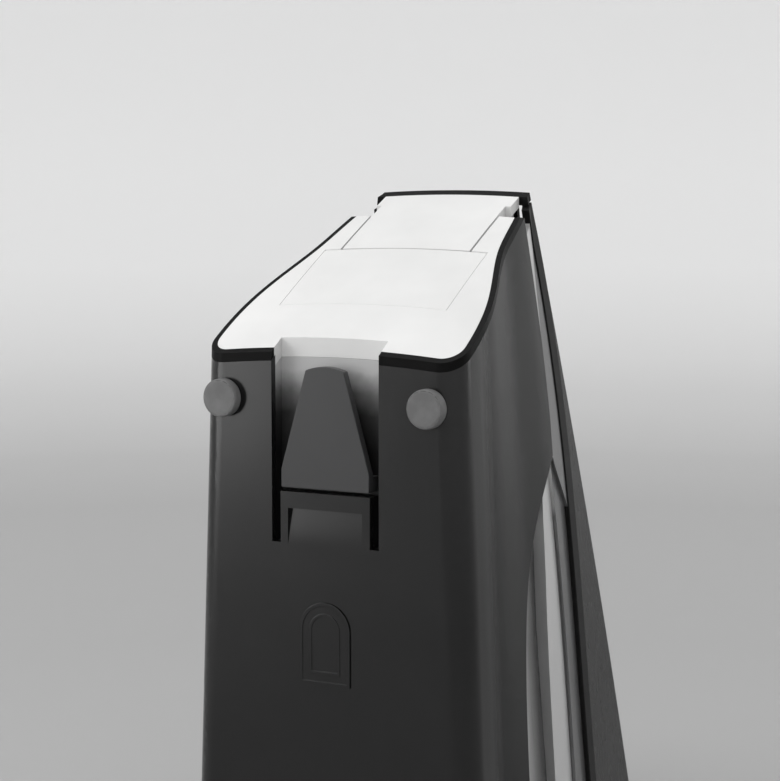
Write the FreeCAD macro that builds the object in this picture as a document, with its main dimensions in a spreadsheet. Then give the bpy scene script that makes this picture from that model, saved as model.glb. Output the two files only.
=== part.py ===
import FreeCAD, Part
import math
import os
import re
import Sketcher

# Upright electric can opener with a crown-cap opener in its rear face.
# Millimetres. +Z up, the rear face looks along +Y, the cutter side along -Y.
# The origin is on the floor, in the middle of the whole object's box.

os.makedirs("parts", exist_ok=True)
doc = FreeCAD.newDocument("can_opener")
Vector = FreeCAD.Vector
Rotation = FreeCAD.Rotation
Placement = FreeCAD.Placement

# ---------------------------------------------------------------- driving sizes
# Depths are measured forward from the rear face, drops down from its top edge.
SIZES = [
    # casing outline
    ("edge_height", 189.0),         # floor to the top edge of the rear face
    ("crown_rise", 52.0),           # top edge of the rear face to the highest level
    ("floor_gap", 2.5),             # floor to the underside of the casing
    ("corner_radius", 8.5),
    ("shoulder_half", 44.3),        # half-widths at the highest level
    ("neck_half", 31.6),
    ("brow_half", 27.6),
    ("waist_start", 14.0),          # depths between which the casing narrows
    ("waist_end", 70.0),
    ("brow_depth", 93.2),
    ("heel_half", 53.4),            # half-widths at the floor
    ("toe_half", 56.5),
    ("front_mid_depth", 105.5),     # front face at the level of the rear top edge
    ("front_foot_depth", 134.0),
    ("wall", 2.6),
    ("shell_wall", 1.6),
    ("seam", 0.3),                  # gap between casing pieces
    # crowned top
    ("top_slope", 32.12),           # degrees, at the rear edge
    ("profile_radius", 791.0),
    ("crown_radius", 491.0),
    ("trim_width", 1.9),
    ("cover_thick", 2.4),
    ("cover_end", 77.0),
    ("label_half", 30.8),
    ("label_start", 23.1),
    ("label_end", 54.4),
    ("label_thick", 1.0),
    ("label_gap", 0.15),
    # edges of the side wall, seen from the side
    ("wall_top_depth", 79.0),
    ("wall_front_depth", 92.4),
    ("cut_corner_depth", 91.0),
    ("cut_corner_drop", 41.2),
    ("cut_mid_depth", 58.0),
    ("cut_mid_drop", 75.8),
    ("cut_foot_depth", 42.0),
    ("band_bulge_depth", 106.5),
    ("band_foot_depth", 100.0),
    ("band_width", 5.6),
    ("band_proud", 0.3),
    ("face_tip_depth", 103.5),      # lower end of the smooth face above the beads
    ("face_tip_drop", 66.0),
    ("bead_inset", 1.2),            # each step of the front shell goes this much in
    ("shell_top_drop", 8.5),        # crowned top to the shell's upper edge beside the lever
    ("bead_seam_depth", 91.8),      # seam between the beads, and the rear edge of the rear one
    ("bead_seam_drop", 60.0),
    ("bead_seam_foot", 84.0),
    ("bead_rear_depth", 80.5),
    ("bead_rear_drop", 68.0),
    ("bead_rear_foot", 69.0),
    ("bead_lip_deep", 4.2),
    ("recess_inset", 7.0),
    # crown-cap opener
    ("opener_side", 0.9),           # sideways place of the opener, bumpers and badge
    ("pocket_half", 19.4),
    ("pocket_deep", 6.6),
    ("pocket_drop", 45.3),          # top edge of the rear face to the pocket's lower end
    ("slot_drop", 61.9),
    ("slot_width", 3.2),
    ("liner_thick", 1.4),
    ("hook_top_half", 6.9),
    ("hook_foot_half", 15.9),
    ("hook_top_drop", 6.0),
    ("hook_arch", 1.3),
    ("hook_shoulder_drop", 38.0),
    ("hook_thick", 3.0),
    ("hook_slit", 1.3),
    ("scoop_half", 13.5),           # finger scoop under the hook
    ("scoop_deep", 1.7),
    ("scoop_top_drop", 50.6),
    ("scoop_foot_drop", 62.5),
    ("mouth_lip", 5.3),             # how far the cover turns down into the pocket
    ("badge_half", 9.2),
    ("badge_drop", 80.3),
    ("badge_tall", 27.0),
    ("badge_thick", 0.6),
    ("badge_rim", 1.2),
    # bumpers, feet, base
    ("bumper_radius", 6.25),
    ("bumper_stand", 4.0),
    ("bumper_offset", 36.9),
    ("bumper_drop", 16.0),
    ("foot_radius", 7.0),
    ("foot_offset", 38.0),
    ("foot_rear_depth", 22.0),
    ("foot_front_depth", 108.0),
    ("base_thick", 3.0),
    ("screw_radius", 1.5),
    ("screw_head_radius", 2.9),
    ("screw_head", 1.6),
    ("screw_length", 12.0),
    ("screw_offset", 26.0),
    ("screw_rear_depth", 14.0),
    ("screw_front_depth", 90.0),
    ("gland_radius", 5.0),
    ("gland_bore", 3.0),
    ("gland_length", 9.0),
    ("gland_height", 16.0),
    # lever
    ("lever_half", 24.0),
    ("lever_gap", 0.8),
    ("lever_thick", 7.0),
    ("lever_skin", 2.6),
    ("lever_skirt", 2.4),
    ("hinge_room", 0.45),           # round clearance behind the arm
    ("cheek_thick", 4.0),           # ears of the cover that hold the hinge pin
    ("cheek_half", 5.0),
    ("lever_front", 91.0),
    ("lever_step", 84.0),           # depth where the arm widens
    ("lever_wide_half", 26.0),
    ("pin_depth", 64.0),
    ("pin_drop", 3.6),              # pin's centre below the crown
    ("pin_radius", 1.5),
    ("hinge_sweep", 9.4),           # radius of the arm's rounded rear end
    ("pin_length", 55.0),
    ("rim_tall", 2.6),
    ("rim_gap", 0.8),               # room for the lever's press
    ("plate_thick", 2.2),
    ("plate_foot", 186.5),          # height of the front plate's lower edge
    ("running_gap", 0.05),
    # cutter, guides, magnet
    ("cutter_radius", 10.0),
    ("cutter_edge", 0.3),
    ("cutter_thick", 1.2),
    ("cutter_bite", 1.6),           # overlap of the blade and the drive wheel, seen from the front
    ("cutter_axle_radius", 2.5),
    ("cutter_boss_radius", 5.0),
    ("guide_radius", 2.6),
    ("guide_offset", 14.0),
    ("guide_reach", 5.0),
    ("magnet_reach", 146.0),        # depth of the magnet's front edge
    ("magnet_radius", 7.5),
    ("magnet_thick", 4.0),
    ("magnet_height", 187.0),
    ("cup_wall", 1.0),
    ("arm_width", 8.0),
    ("arm_thick", 1.6),
    ("arm_pin_radius", 1.2),
    ("arm_pin_height", 214.0),
    ("lug_thick", 2.0),
    ("lug_radius", 3.0),
    ("lug_gap", 0.3),
    # drive train
    ("drive_height", 177.0),
    ("drive_radius", 6.75),
    ("drive_thick", 4.5),
    ("drive_stand", 1.8),           # fascia to the back of the drive wheel
    ("drive_teeth", 22),
    ("drive_notch", 0.7),
    ("shaft_radius", 4.0),
    ("bush_wall", 2.0),
    ("coarse_module", 1.0),
    ("fine_module", 0.8),
    ("output_teeth", 36),
    ("second_pinion_teeth", 12),
    ("second_gear_teeth", 44),
    ("first_pinion_teeth", 11),
    ("first_gear_teeth", 40),
    ("motor_pinion_teeth", 10),
    ("second_offset", 10.0),        # sideways places of the two idlers
    ("first_offset", 4.0),
    ("idler_radius", 2.0),
    ("gear_face", 5.0),
    ("gear_clear", 1.5),
    ("plate_gap", 24.0),            # clear distance between the gear plates
    ("gear_plate_thick", 1.6),
    ("gear_plate_half", 25.0),
    ("rear_plate_depth", 62.0),
    ("plate_top", 203.0),
    ("plate_bottom", 92.0),
    ("pillar_radius", 3.0),
    ("stator_half", 26.0),
    ("stator_long", 22.0),
    ("stator_gap", 6.4),            # stator to the rear gear plate
    ("stud_inset", 4.0),
    ("stud_radius", 1.6),
    ("rotor_radius", 13.0),
    ("air_gap", 0.5),
    ("motor_shaft_radius", 2.0),
    ("coil_thick", 6.0),
    ("fan_radius", 17.0),
    ("fan_thick", 5.0),
    ("fan_blades", 8),
    ("bearing_radius", 6.0),
    ("bearing_thick", 4.0),
    # switch
    ("switch_long", 16.0),
    ("switch_wide", 6.4),
    ("switch_tall", 10.0),
    ("button_radius", 1.2),
    ("button_stand", 2.0),
    ("button_travel", 1.2),
    ("switch_side", 17.0),
    ("switch_depth", 80.0),
    ("switch_drop", 19.0),          # switch body's top below the crown
]

sheet = doc.addObject("Spreadsheet::Sheet", "sizes")
for row, (alias, value) in enumerate(SIZES, start=1):
    sheet.set("A%d" % row, str(value))
    sheet.setAlias("A%d" % row, alias)
doc.recompute()
ALIASES = {alias for alias, _ in SIZES}


def size(alias):
    return float(sheet.get(alias))


def bound(formula):
    """Turn a formula on aliases into one that reads the sheet."""
    return re.sub(r"[a-z_]+", lambda word: "sizes." + word.group(0)
                  if word.group(0) in ALIASES else word.group(0), formula)


# The few places that many pieces share.
REAR = (size("magnet_reach") - size("bumper_stand")) / 2
EDGE = size("edge_height")
CROWN_LEVEL = EDGE + size("crown_rise")
FLOOR = size("floor_gap")
BEYOND = 20.0                       # how far cutting tools run past the object


def ahead(depth):
    """Y of a depth measured forward from the rear face."""
    return REAR - depth


def side_point(depth, drop, x=0.0):
    """Point at a depth and a drop below the rear face's top edge."""
    return Vector(x, ahead(depth), EDGE - drop)


# ---------------------------------------------------------------- helpers
nodes = {}


def keep(piece, node):
    piece.Label = node
    nodes[node] = piece
    return piece


def primitive(kind, name, place, **formulas):
    piece = doc.addObject("Part::" + kind, name)
    for property_name, formula in formulas.items():
        piece.setExpression(property_name, bound(formula))
    piece.Placement = place
    return piece


FORWARD = Rotation(Vector(1, 0, 0), 90)     # a cylinder's +Z turned to -Y
SIDEWAYS = Rotation(Vector(0, 1, 0), 90)    # a cylinder's +Z turned to +X
UPRIGHT = Rotation()


def rod(name, x, depth, height, radius, length, turn=FORWARD):
    place = Placement(Vector(x, ahead(depth), height), turn)
    return primitive("Cylinder", name, place, Radius=radius, Height=length)


def fuse(name, *pieces):
    joined = doc.addObject("Part::MultiFuse", name)
    joined.Shapes = list(pieces)
    return joined


def group(name, *pieces):
    joined = doc.addObject("Part::Compound", name)
    joined.Links = list(pieces)
    return joined


def cut(name, base, *tools):
    result = doc.addObject("Part::Cut", name)
    result.Base = base
    result.Tool = tools[0] if len(tools) == 1 else fuse(name + "_tools", *tools)
    return result


def feature(name, shape):
    piece = doc.addObject("Part::Feature", name)
    piece.Shape = shape
    return piece


def one_solid(shape):
    """The shape's solids as one plain solid, or as a compound of several."""
    solids = shape.removeSplitter().Solids
    return solids[0] if len(solids) == 1 else Part.makeCompound(solids)


def spline(points):
    curve = Part.BSplineCurve()
    curve.interpolate(points)
    return curve.toShape()


def line(start, end):
    return Part.LineSegment(start, end).toShape()


def block(x_low, x_high, depth_low, depth_high, z_low, z_high):
    corner = Vector(x_low, ahead(depth_high), z_low)
    return Part.makeBox(x_high - x_low, depth_high - depth_low, z_high - z_low, corner)


def round_bar(radius, length, x, depth, height, direction):
    return Part.makeCylinder(radius, length, Vector(x, ahead(depth), height), direction)


TO_FRONT = Vector(0, -1, 0)
TO_SIDE = Vector(1, 0, 0)


# ---------------------------------------------------------------- casing outline
def half_width(depth, at_floor):
    """Half-width of the casing at a depth, on the floor or at the highest level."""
    if at_floor:
        along = min(depth / size("brow_depth"), 1.0)
        return size("heel_half") + along * (size("toe_half") - size("heel_half"))
    start, end = size("waist_start"), size("waist_end")
    shoulder, neck, brow = size("shoulder_half"), size("neck_half"), size("brow_half")
    if depth <= start:
        return shoulder
    if depth <= end:
        turn = math.pi * (depth - start) / (end - start)
        return neck + (shoulder - neck) * (1 + math.cos(turn)) / 2
    along = min((depth - end) / (size("brow_depth") - end), 1.0)
    return neck + along * (brow - neck)


def outline(level, at_floor, inset):
    """Closed outline of the casing at one level, moved inward by the inset."""
    start, end = size("waist_start"), size("waist_end")
    stations = [start + (end - start) * quarter / 4 for quarter in range(5)]
    stations = [size("corner_radius")] + stations + [size("brow_depth")]
    side = []
    for depth in stations:
        slope = (half_width(depth + 0.5, at_floor) - half_width(depth - 0.5, at_floor))
        lean = math.atan(slope)
        x = half_width(depth, at_floor) - inset * math.cos(lean)
        side.append((x, depth + inset * math.sin(lean)))
    radius = size("corner_radius") - inset
    centre_x = side[0][0] - radius
    centre_depth = side[0][1]
    half_turn = radius * math.sqrt(0.5)
    corner_mid = (centre_x + half_turn, centre_depth - half_turn)
    far = size("front_foot_depth") + BEYOND
    edges = []
    for sign in (1, -1):
        points = [Vector(sign * x, ahead(depth), level) for x, depth in side]
        rear = Vector(sign * centre_x, ahead(centre_depth - radius), level)
        middle = Vector(sign * corner_mid[0], ahead(corner_mid[1]), level)
        front = Vector(points[-1].x, ahead(far), level)
        edges.append([Part.Arc(rear, middle, points[0]).toShape(), spline(points),
                      line(points[-1], front), rear, front])
    right, left = edges
    return Part.Wire([line(left[3], right[3]), right[0], right[1], right[2],
                      line(right[4], left[4]), left[2], left[1], left[0]])


def envelope(inset):
    """The casing's full outer body, moved inward by the inset, with no top or front."""
    return Part.makeLoft([outline(0.0, True, inset),
                          outline(CROWN_LEVEL + BEYOND / 4, False, inset)], True, True)


def crown(upper, lower):
    """Slab between two depths under the crowned top surface."""
    slope = math.radians(size("top_slope"))
    radius = size("profile_radius")
    centre = Vector(0, ahead(radius * math.sin(slope)), EDGE - radius * math.cos(slope))
    half = size("heel_half") + BEYOND
    edges = []
    ends = []
    for below in (upper, lower):
        apex = radius - below
        crown_radius = size("crown_radius") - below
        sag = crown_radius - math.sqrt(crown_radius ** 2 - half ** 2)
        points = [centre + Vector(-half, 0, apex - sag), centre + Vector(0, 0, apex),
                  centre + Vector(half, 0, apex - sag)]
        edges.append(Part.Arc(*points).toShape())
        ends.append(points)
    left = line(ends[0][0], ends[1][0])
    right = line(ends[0][2], ends[1][2])
    profile = Part.Face(Part.Wire(Part.sortEdges([edges[0], right, edges[1], left])[0]))
    swing = size("top_slope") + math.degrees(BEYOND / radius)
    profile.rotate(centre, TO_SIDE, -swing)
    return profile.revolve(centre, TO_SIDE, swing)


def under_crown(shape, below):
    """The part of a shape that lies at least this far under the crowned top."""
    return shape.cut(crown(-4 * BEYOND, below))


def crown_height(depth):
    """Height of the crowned top on the centre line."""
    slope = math.radians(size("top_slope"))
    radius = size("profile_radius")
    run = radius * math.sin(slope) - depth
    return EDGE - radius * math.cos(slope) + math.sqrt(radius ** 2 - run ** 2)


def region(edges):
    """Everything whose side view lies inside the closed edges."""
    half = size("toe_half") + BEYOND
    face = Part.Face(Part.Wire(Part.sortEdges(edges)[0]))
    face.translate(Vector(-half, 0, 0))
    return face.extrude(Vector(2 * half, 0, 0))


TOP_DROP = -(size("crown_rise") + 4)
FOOT_DROP = EDGE - FLOOR


def between(rear_edges, front_edges):
    """Region between a rear and a front curve, both running from top to foot."""
    rear_top, rear_foot = rear_edges[0].Vertexes[0].Point, rear_edges[-1].Vertexes[-1].Point
    front_top, front_foot = front_edges[0].Vertexes[0].Point, front_edges[-1].Vertexes[-1].Point
    return region(rear_edges + front_edges + [line(rear_top, front_top),
                                              line(rear_foot, front_foot)])


def moved(edges, forward):
    copies = [edge.copy() for edge in edges]
    for copy in copies:
        copy.translate(TO_FRONT * forward)
    return copies


def upright(depth):
    return [line(side_point(depth, TOP_DROP), side_point(depth, FOOT_DROP))]


# The side view's curves, from the top to the foot.
wall_edge = [
    spline([side_point(size("wall_top_depth"), TOP_DROP),
            side_point(size("wall_front_depth") - 4, -15),
            side_point(size("wall_front_depth"), size("cut_corner_drop") / 2),
            side_point(size("cut_corner_depth"), size("cut_corner_drop"))]),
    spline([side_point(size("cut_corner_depth"), size("cut_corner_drop")),
            side_point((size("cut_corner_depth") + size("cut_mid_depth")) / 2 - 2.8,
                       (size("cut_corner_drop") + size("cut_mid_drop")) / 2 - 1),
            side_point(size("cut_mid_depth"), size("cut_mid_drop")),
            side_point(size("cut_mid_depth") - 8.6, size("cut_mid_drop") + 23.5),
            side_point(size("cut_foot_depth"), FOOT_DROP)])]
band_front = [
    spline([side_point(size("brow_depth") - 1.6, TOP_DROP),
            side_point(size("band_bulge_depth") - 1.5, 9),
            side_point(size("band_bulge_depth"), 62),
            side_point(size("band_foot_depth"), FOOT_DROP)])]
band_rear = moved(band_front, -size("band_width"))
front_line = [
    spline([side_point(size("brow_depth"), TOP_DROP),
            side_point(size("front_mid_depth"), 0),
            side_point(size("front_foot_depth"), FOOT_DROP)])]



def behind(edges):
    return between(upright(-BEYOND), edges)


def in_front_of(edges):
    return between(edges, upright(size("magnet_reach") + BEYOND))


full = envelope(0.0)
hollow = envelope(size("wall"))

# ---------------------------------------------------------------- rear housing
seam = size("seam")
pocket_half = size("pocket_half")
opener_side = size("opener_side")
liner_thick = size("liner_thick")
lap = 1.6                           # how far the housing's rib laps the liner
pocket_level = EDGE - size("pocket_drop")
slot_level = EDGE - size("slot_drop")



def opener_block(half, depth_low, depth_high, z_low, z_high):
    """Block centred on the opener's own middle."""
    return block(opener_side - half, opener_side + half, depth_low, depth_high, z_low, z_high)


def slot_block(side):
    inner = opener_side + side * (pocket_half - size("slot_width"))
    outer = opener_side + side * pocket_half
    return block(min(inner, outer), max(inner, outer), -1, size("pocket_deep"), slot_level,
                 CROWN_LEVEL)


pocket_room = opener_block(pocket_half, -1, size("pocket_deep"), pocket_level, CROWN_LEVEL)
slots = [slot_block(side) for side in (1, -1)]
scoop = Part.Face(Part.makePolygon([
    side_point(-1, size("scoop_top_drop"), opener_side - size("scoop_half")),
    side_point(size("scoop_deep"), size("scoop_top_drop"), opener_side - size("scoop_half")),
    side_point(-1, size("scoop_foot_drop") + (size("scoop_foot_drop") - size("scoop_top_drop"))
               / size("scoop_deep"), opener_side - size("scoop_half")),
    side_point(-1, size("scoop_top_drop"), opener_side - size("scoop_half"))]))
scoop = scoop.extrude(TO_SIDE * 2 * size("scoop_half"))
liner_room = opener_block(pocket_half + liner_thick, -1, size("pocket_deep") + liner_thick,
                          slot_level - liner_thick, CROWN_LEVEL)
mouth_lip = opener_block(pocket_half + liner_thick, size("wall") + 0.1,
                         size("pocket_deep") + liner_thick, 0, CROWN_LEVEL)
mouth_lip = mouth_lip.cut(pocket_room).common(crown(0, size("mouth_lip")))
housing = under_crown(full.cut(hollow), size("cover_thick") + 0.05)
housing = housing.common(behind(wall_edge))
backing = opener_block(pocket_half + liner_thick + lap, 0.5, size("pocket_deep") + liner_thick + lap,
                       slot_level - liner_thick - lap, EDGE - 4)
housing = housing.fuse(backing).cut(liner_room)
lip = opener_block(pocket_half + liner_thick + 1, 0, size("wall"), slot_level - liner_thick - 1, EDGE)
lip = under_crown(lip.cut(pocket_room).cut(slots[0]).cut(slots[1]), size("cover_thick") + 0.05)
housing = housing.fuse(lip).cut(scoop)
bumper_places = [opener_side + side * size("bumper_offset") for side in (1, -1)]
for x in bumper_places:
    housing = housing.cut(round_bar(size("bumper_radius") - 1.5, BEYOND, x, -1,
                                    EDGE - size("bumper_drop"), TO_FRONT))
housing = housing.cut(round_bar(size("gland_radius"), BEYOND, 0, -1, size("gland_height"), TO_FRONT))
keep(feature("rear_housing_shape", one_solid(housing)), "rear_housing")

# ---------------------------------------------------------------- crowned top
# A black trim rim runs round the white cover and ends at the lever's front.
rim_ring = full.cut(envelope(size("trim_width"))).common(crown(0, size("cover_thick")))
rim_ring = rim_ring.common(block(-60, 60, -BEYOND, size("cover_end"), 0, 300))
rim_ring = rim_ring.cut(opener_block(pocket_half, -BEYOND, BEYOND, 0, 300))
keep(feature("top_trim_shape", one_solid(rim_ring)), "top_trim")

pin_height = crown_height(size("pin_depth")) - size("pin_drop")


def pin_disc(radius, half):
    """Round bar on the lever's hinge line."""
    return round_bar(radius, 2 * half, -half, size("pin_depth"), pin_height, TO_SIDE)


cover_slab = crown(0, size("cover_thick")).common(envelope(size("trim_width") + 0.05))
cover_slab = cover_slab.common(block(-60, 60, -BEYOND, size("cover_end"), 0, 300))
lever_slot_half = size("lever_half") + size("lever_gap")


def cheek(side):
    """Ear under the cover, beside the lever, that holds one end of the hinge pin."""
    inner = side * lever_slot_half
    outer = side * (lever_slot_half + size("cheek_thick"))
    ear = block(min(inner, outer), max(inner, outer), size("pin_depth") - size("cheek_half"),
                size("pin_depth") + size("cheek_half"), pin_height - 4, CROWN_LEVEL)
    return under_crown(ear, 0.5)


label_room = block(-size("label_half"), size("label_half"), size("label_start"),
                   size("label_end") + 0.4, 0, CROWN_LEVEL)
lever_room = block(-lever_slot_half, lever_slot_half, size("pin_depth"), 200, 0, CROWN_LEVEL)
hinge_disc = pin_disc(size("hinge_sweep") + size("hinge_room"), lever_slot_half)
cover = cover_slab.fuse(cheek(1)).fuse(cheek(-1)).fuse(mouth_lip)
cover = cover.cut(lever_room).cut(hinge_disc)
cover = cover.cut(label_room.common(crown(-5, size("label_thick") + 0.02)))
cover = cover.cut(opener_block(pocket_half, -BEYOND, size("pocket_deep"), 0, CROWN_LEVEL))
cover = cover.cut(pin_disc(size("pin_radius"), size("pin_length") / 2 + 0.2))
keep(feature("top_cover_shape", one_solid(cover)), "top_cover")

label = crown(0, size("label_thick"))
gap = size("label_gap")
label = label.common(block(-size("label_half") + gap, size("label_half") - gap,
                           size("label_start") + gap, size("label_end") - gap, 0, 300))
label = label.cut(hinge_disc)
keep(feature("label_plate_shape", one_solid(label)), "label_plate")

# ---------------------------------------------------------------- crown-cap opener
# The liner is the pocket's floor and side walls; the hook plate stands on its lower end.
liner = liner_room.cut(pocket_room).cut(slots[0]).cut(slots[1])
liner = liner.cut(block(-60, 60, -BEYOND, size("wall"), 0, 300))
liner = under_crown(liner, size("mouth_lip") + 0.1)
keep(feature("opener_pocket_shape", one_solid(liner)), "opener_pocket")

hook_foot_drop = size("pocket_drop") - size("hook_slit")


def hook_corner(side, half, drop):
    return side_point(0, drop, opener_side + side * half)


hook_corners = [hook_corner(-1, size("hook_top_half"), size("hook_top_drop")),
                hook_corner(-1, size("hook_foot_half"), size("hook_shoulder_drop")),
                hook_corner(-1, size("hook_foot_half"), hook_foot_drop),
                hook_corner(1, size("hook_foot_half"), hook_foot_drop),
                hook_corner(1, size("hook_foot_half"), size("hook_shoulder_drop")),
                hook_corner(1, size("hook_top_half"), size("hook_top_drop"))]
hook_top = Part.Arc(hook_corners[-1],
                    side_point(0, size("hook_top_drop") - size("hook_arch"), opener_side),
                    hook_corners[0]).toShape()
hook_line = [hook_top] + [line(start, end) for start, end in zip(hook_corners, hook_corners[1:])]
hook = Part.Face(Part.Wire(hook_line)).extrude(TO_FRONT * size("hook_thick"))
hook_root = opener_block(size("hook_foot_half"), size("hook_thick"), size("pocket_deep"),
                         EDGE - hook_foot_drop, EDGE - hook_foot_drop + 5)
keep(feature("cap_hook_shape", one_solid(hook.fuse(hook_root))), "cap_hook")

# A raised badge with a round top stands on the rear face: two plain rims, one in the other.
badge_half = size("badge_half")
badge_foot = size("badge_drop") + size("badge_tall")


def badge_outline(inset, thick):
    """Arch-shaped plate standing on the rear face, moved inward by the inset."""
    half = badge_half - inset
    crest, foot = size("badge_drop") + badge_half, badge_foot - inset
    right, left = opener_side + half, opener_side - half
    edges = [Part.Arc(side_point(0, crest, right), side_point(0, crest - half, opener_side),
                      side_point(0, crest, left)).toShape(),
             line(side_point(0, crest, left), side_point(0, foot, left)),
             line(side_point(0, foot, left), side_point(0, foot, right)),
             line(side_point(0, foot, right), side_point(0, crest, right))]
    return Part.Face(Part.Wire(edges)).extrude(-TO_FRONT * thick)


badge = badge_outline(0, size("badge_thick"))
badge = badge.cut(badge_outline(size("badge_rim"), size("badge_thick")))
badge = badge.fuse(badge_outline(size("badge_rim"), size("badge_thick") / 2))
inner_rim = badge_outline(3 * size("badge_rim"), size("badge_thick"))
badge = badge.fuse(inner_rim.cut(badge_outline(3.8 * size("badge_rim"), size("badge_thick"))))
keep(feature("rear_badge_shape", one_solid(badge)), "rear_badge")

# ---------------------------------------------------------------- front shell
# The shell's sides step inward in two beads that run parallel to the black band.
corner = side_point(size("cut_corner_depth") + seam, size("cut_corner_drop"))
upper_line = moved(wall_edge[:1], seam)
face_tip = side_point(size("face_tip_depth"), size("face_tip_drop"))
face_line = upper_line + [line(corner, face_tip),
                          line(face_tip, side_point(size("face_tip_depth"), FOOT_DROP))]
bead_seam = upper_line + [spline([
    corner, side_point(size("bead_seam_depth"), size("bead_seam_drop")),
    side_point(size("bead_seam_depth") - 0.8, size("bead_seam_drop") + 32),
    side_point(size("bead_seam_foot"), FOOT_DROP)])]
bead_rear = upper_line + [spline([
    corner, side_point(size("bead_rear_depth") + 3.5, size("bead_rear_drop") - 17.5),
    side_point(size("bead_rear_depth"), size("bead_rear_drop")),
    side_point(size("bead_rear_depth") - 4, size("bead_rear_drop") + 29),
    side_point(size("bead_rear_foot"), FOOT_DROP)])]


def side_skin(inset, thick):
    """Casing side walls of a thickness, standing in from the outline."""
    return envelope(inset).cut(envelope(inset + thick))


sides_only = block(-70, -12, -BEYOND, 200, 0, 300).fuse(block(12, 70, -BEYOND, 200, 0, 300))
shell_thick = size("shell_wall")
band_limit = behind(moved(band_rear, -0.1))
shell = side_skin(0.2, shell_thick).common(in_front_of(face_line)).common(band_limit)
front_edge = upright(size("magnet_reach"))
for step, rear_edge in ((1, bead_seam), (2, bead_rear)):
    skin = side_skin(0.2 + step * size("bead_inset"), shell_thick)
    skin = skin.common(in_front_of(rear_edge)).common(band_limit)
    shell = shell.fuse(skin.common(behind(moved(front_edge, 1.2))))
    front_edge = rear_edge
lip_skin = side_skin(0.2 + 2 * size("bead_inset"), size("bead_lip_deep"))
lip_skin = lip_skin.common(in_front_of(bead_rear)).common(behind(moved(bead_rear, 1.4)))
shell = shell.fuse(lip_skin.common(band_limit))
shell = shell.common(sides_only)
shell = under_crown(shell, 0.05).cut(envelope(-2).cut(envelope(0.15)))
shell = shell.cut(block(-lever_slot_half - 2.2, lever_slot_half + 2.2, 60, 120, EDGE + 20, 300))
shell_top_gap = crown(-BEYOND, size("shell_top_drop"))
shell = shell.cut(shell_top_gap.common(block(-60, 60, 60, size("lever_front"), 0, 300)))
keep(feature("front_shell_shape", Part.makeCompound(shell.Solids)), "front_shell")

# Dark panels close the recess between the housing's cut edge and the front shell.
recess = side_skin(size("recess_inset"), shell_thick).common(sides_only)
recess_rear = moved(wall_edge, -9)
recess = recess.common(between(recess_rear, moved(band_rear, -1)))
recess = recess.common(block(-60, 60, 0, 200, FLOOR + size("base_thick") + 0.1,
                             EDGE - size("cut_corner_drop") + 6))
keep(feature("recess_panels_shape", one_solid(recess)), "recess_panels")

# ---------------------------------------------------------------- black band and fascia
band = envelope(-size("band_proud")).cut(envelope(size("wall")))
band = band.common(between(band_rear, band_front)).common(sides_only)
band = under_crown(band, size("rim_tall") + size("rim_gap"))
keep(feature("side_bands_shape", one_solid(band)), "side_bands")

front_gap = 0.1
plate_opening_half = size("lever_half") + size("lever_gap") + 0.6
opening_foot = size("plate_foot") - size("rim_gap") - 0.6
drive_height = size("drive_height")
drive_hole = size("shaft_radius") + 0.6

inner_front = moved(front_line, -size("wall"))
fascia = full.common(in_front_of(moved(band_front, front_gap))).common(behind(front_line))
fascia = fascia.cut(hollow.common(behind(inner_front)))
fascia = fascia.cut(block(-plate_opening_half, plate_opening_half, 60, 160, opening_foot, 300))
fascia = under_crown(fascia, size("rim_tall") + size("rim_gap"))
fascia = fascia.cut(round_bar(drive_hole, 60, 0, 80, drive_height, TO_FRONT))
for side in (1, -1):
    fascia = fascia.cut(round_bar(size("guide_radius"), 60, side * size("guide_offset"), 80,
                                  drive_height, TO_FRONT))
keep(feature("front_fascia_shape", one_solid(fascia)), "front_fascia")

# ---------------------------------------------------------------- base, feet, bumpers, screws
base_slab = envelope(size("wall") + 0.2).common(behind(moved(front_line, -size("wall") - 0.3)))
base = base_slab.common(block(-60, 60, -1, 200, FLOOR, FLOOR + size("base_thick")))
foot_places = [(side * size("foot_offset"), depth) for side in (1, -1)
               for depth in (size("foot_rear_depth"), size("foot_front_depth"))]
screw_places = [(side * size("screw_offset"), depth) for side in (1, -1)
                for depth in (size("screw_rear_depth"), size("screw_front_depth"))]
for x, depth in foot_places:
    base = base.cut(round_bar(size("foot_radius") + 0.1, 1.0, x, depth, FLOOR, Vector(0, 0, 1)))
for x, depth in screw_places:
    base = base.cut(round_bar(size("screw_radius") + 0.2, 10, x, depth, FLOOR - 1, Vector(0, 0, 1)))
    base = base.cut(round_bar(size("screw_head_radius") + 0.3, size("screw_head"), x, depth, FLOOR,
                              Vector(0, 0, 1)))
base = base.cut(block(-60, 60, -BEYOND, size("wall") + 0.25, 0, 300)).cut(shell)
keep(feature("base_plate_shape", one_solid(base)), "base_plate")


def sketch_on(body, role, name):
    """Empty sketch on one of the body's own origin planes."""
    plane = [f for f in body.Origin.OriginFeatures if f.Role == role][0]
    sketch = body.newObject("Sketcher::SketchObject", name)
    sketch.AttachmentSupport = (plane, [""])
    sketch.MapMode = "FlatFace"
    return sketch


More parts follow.
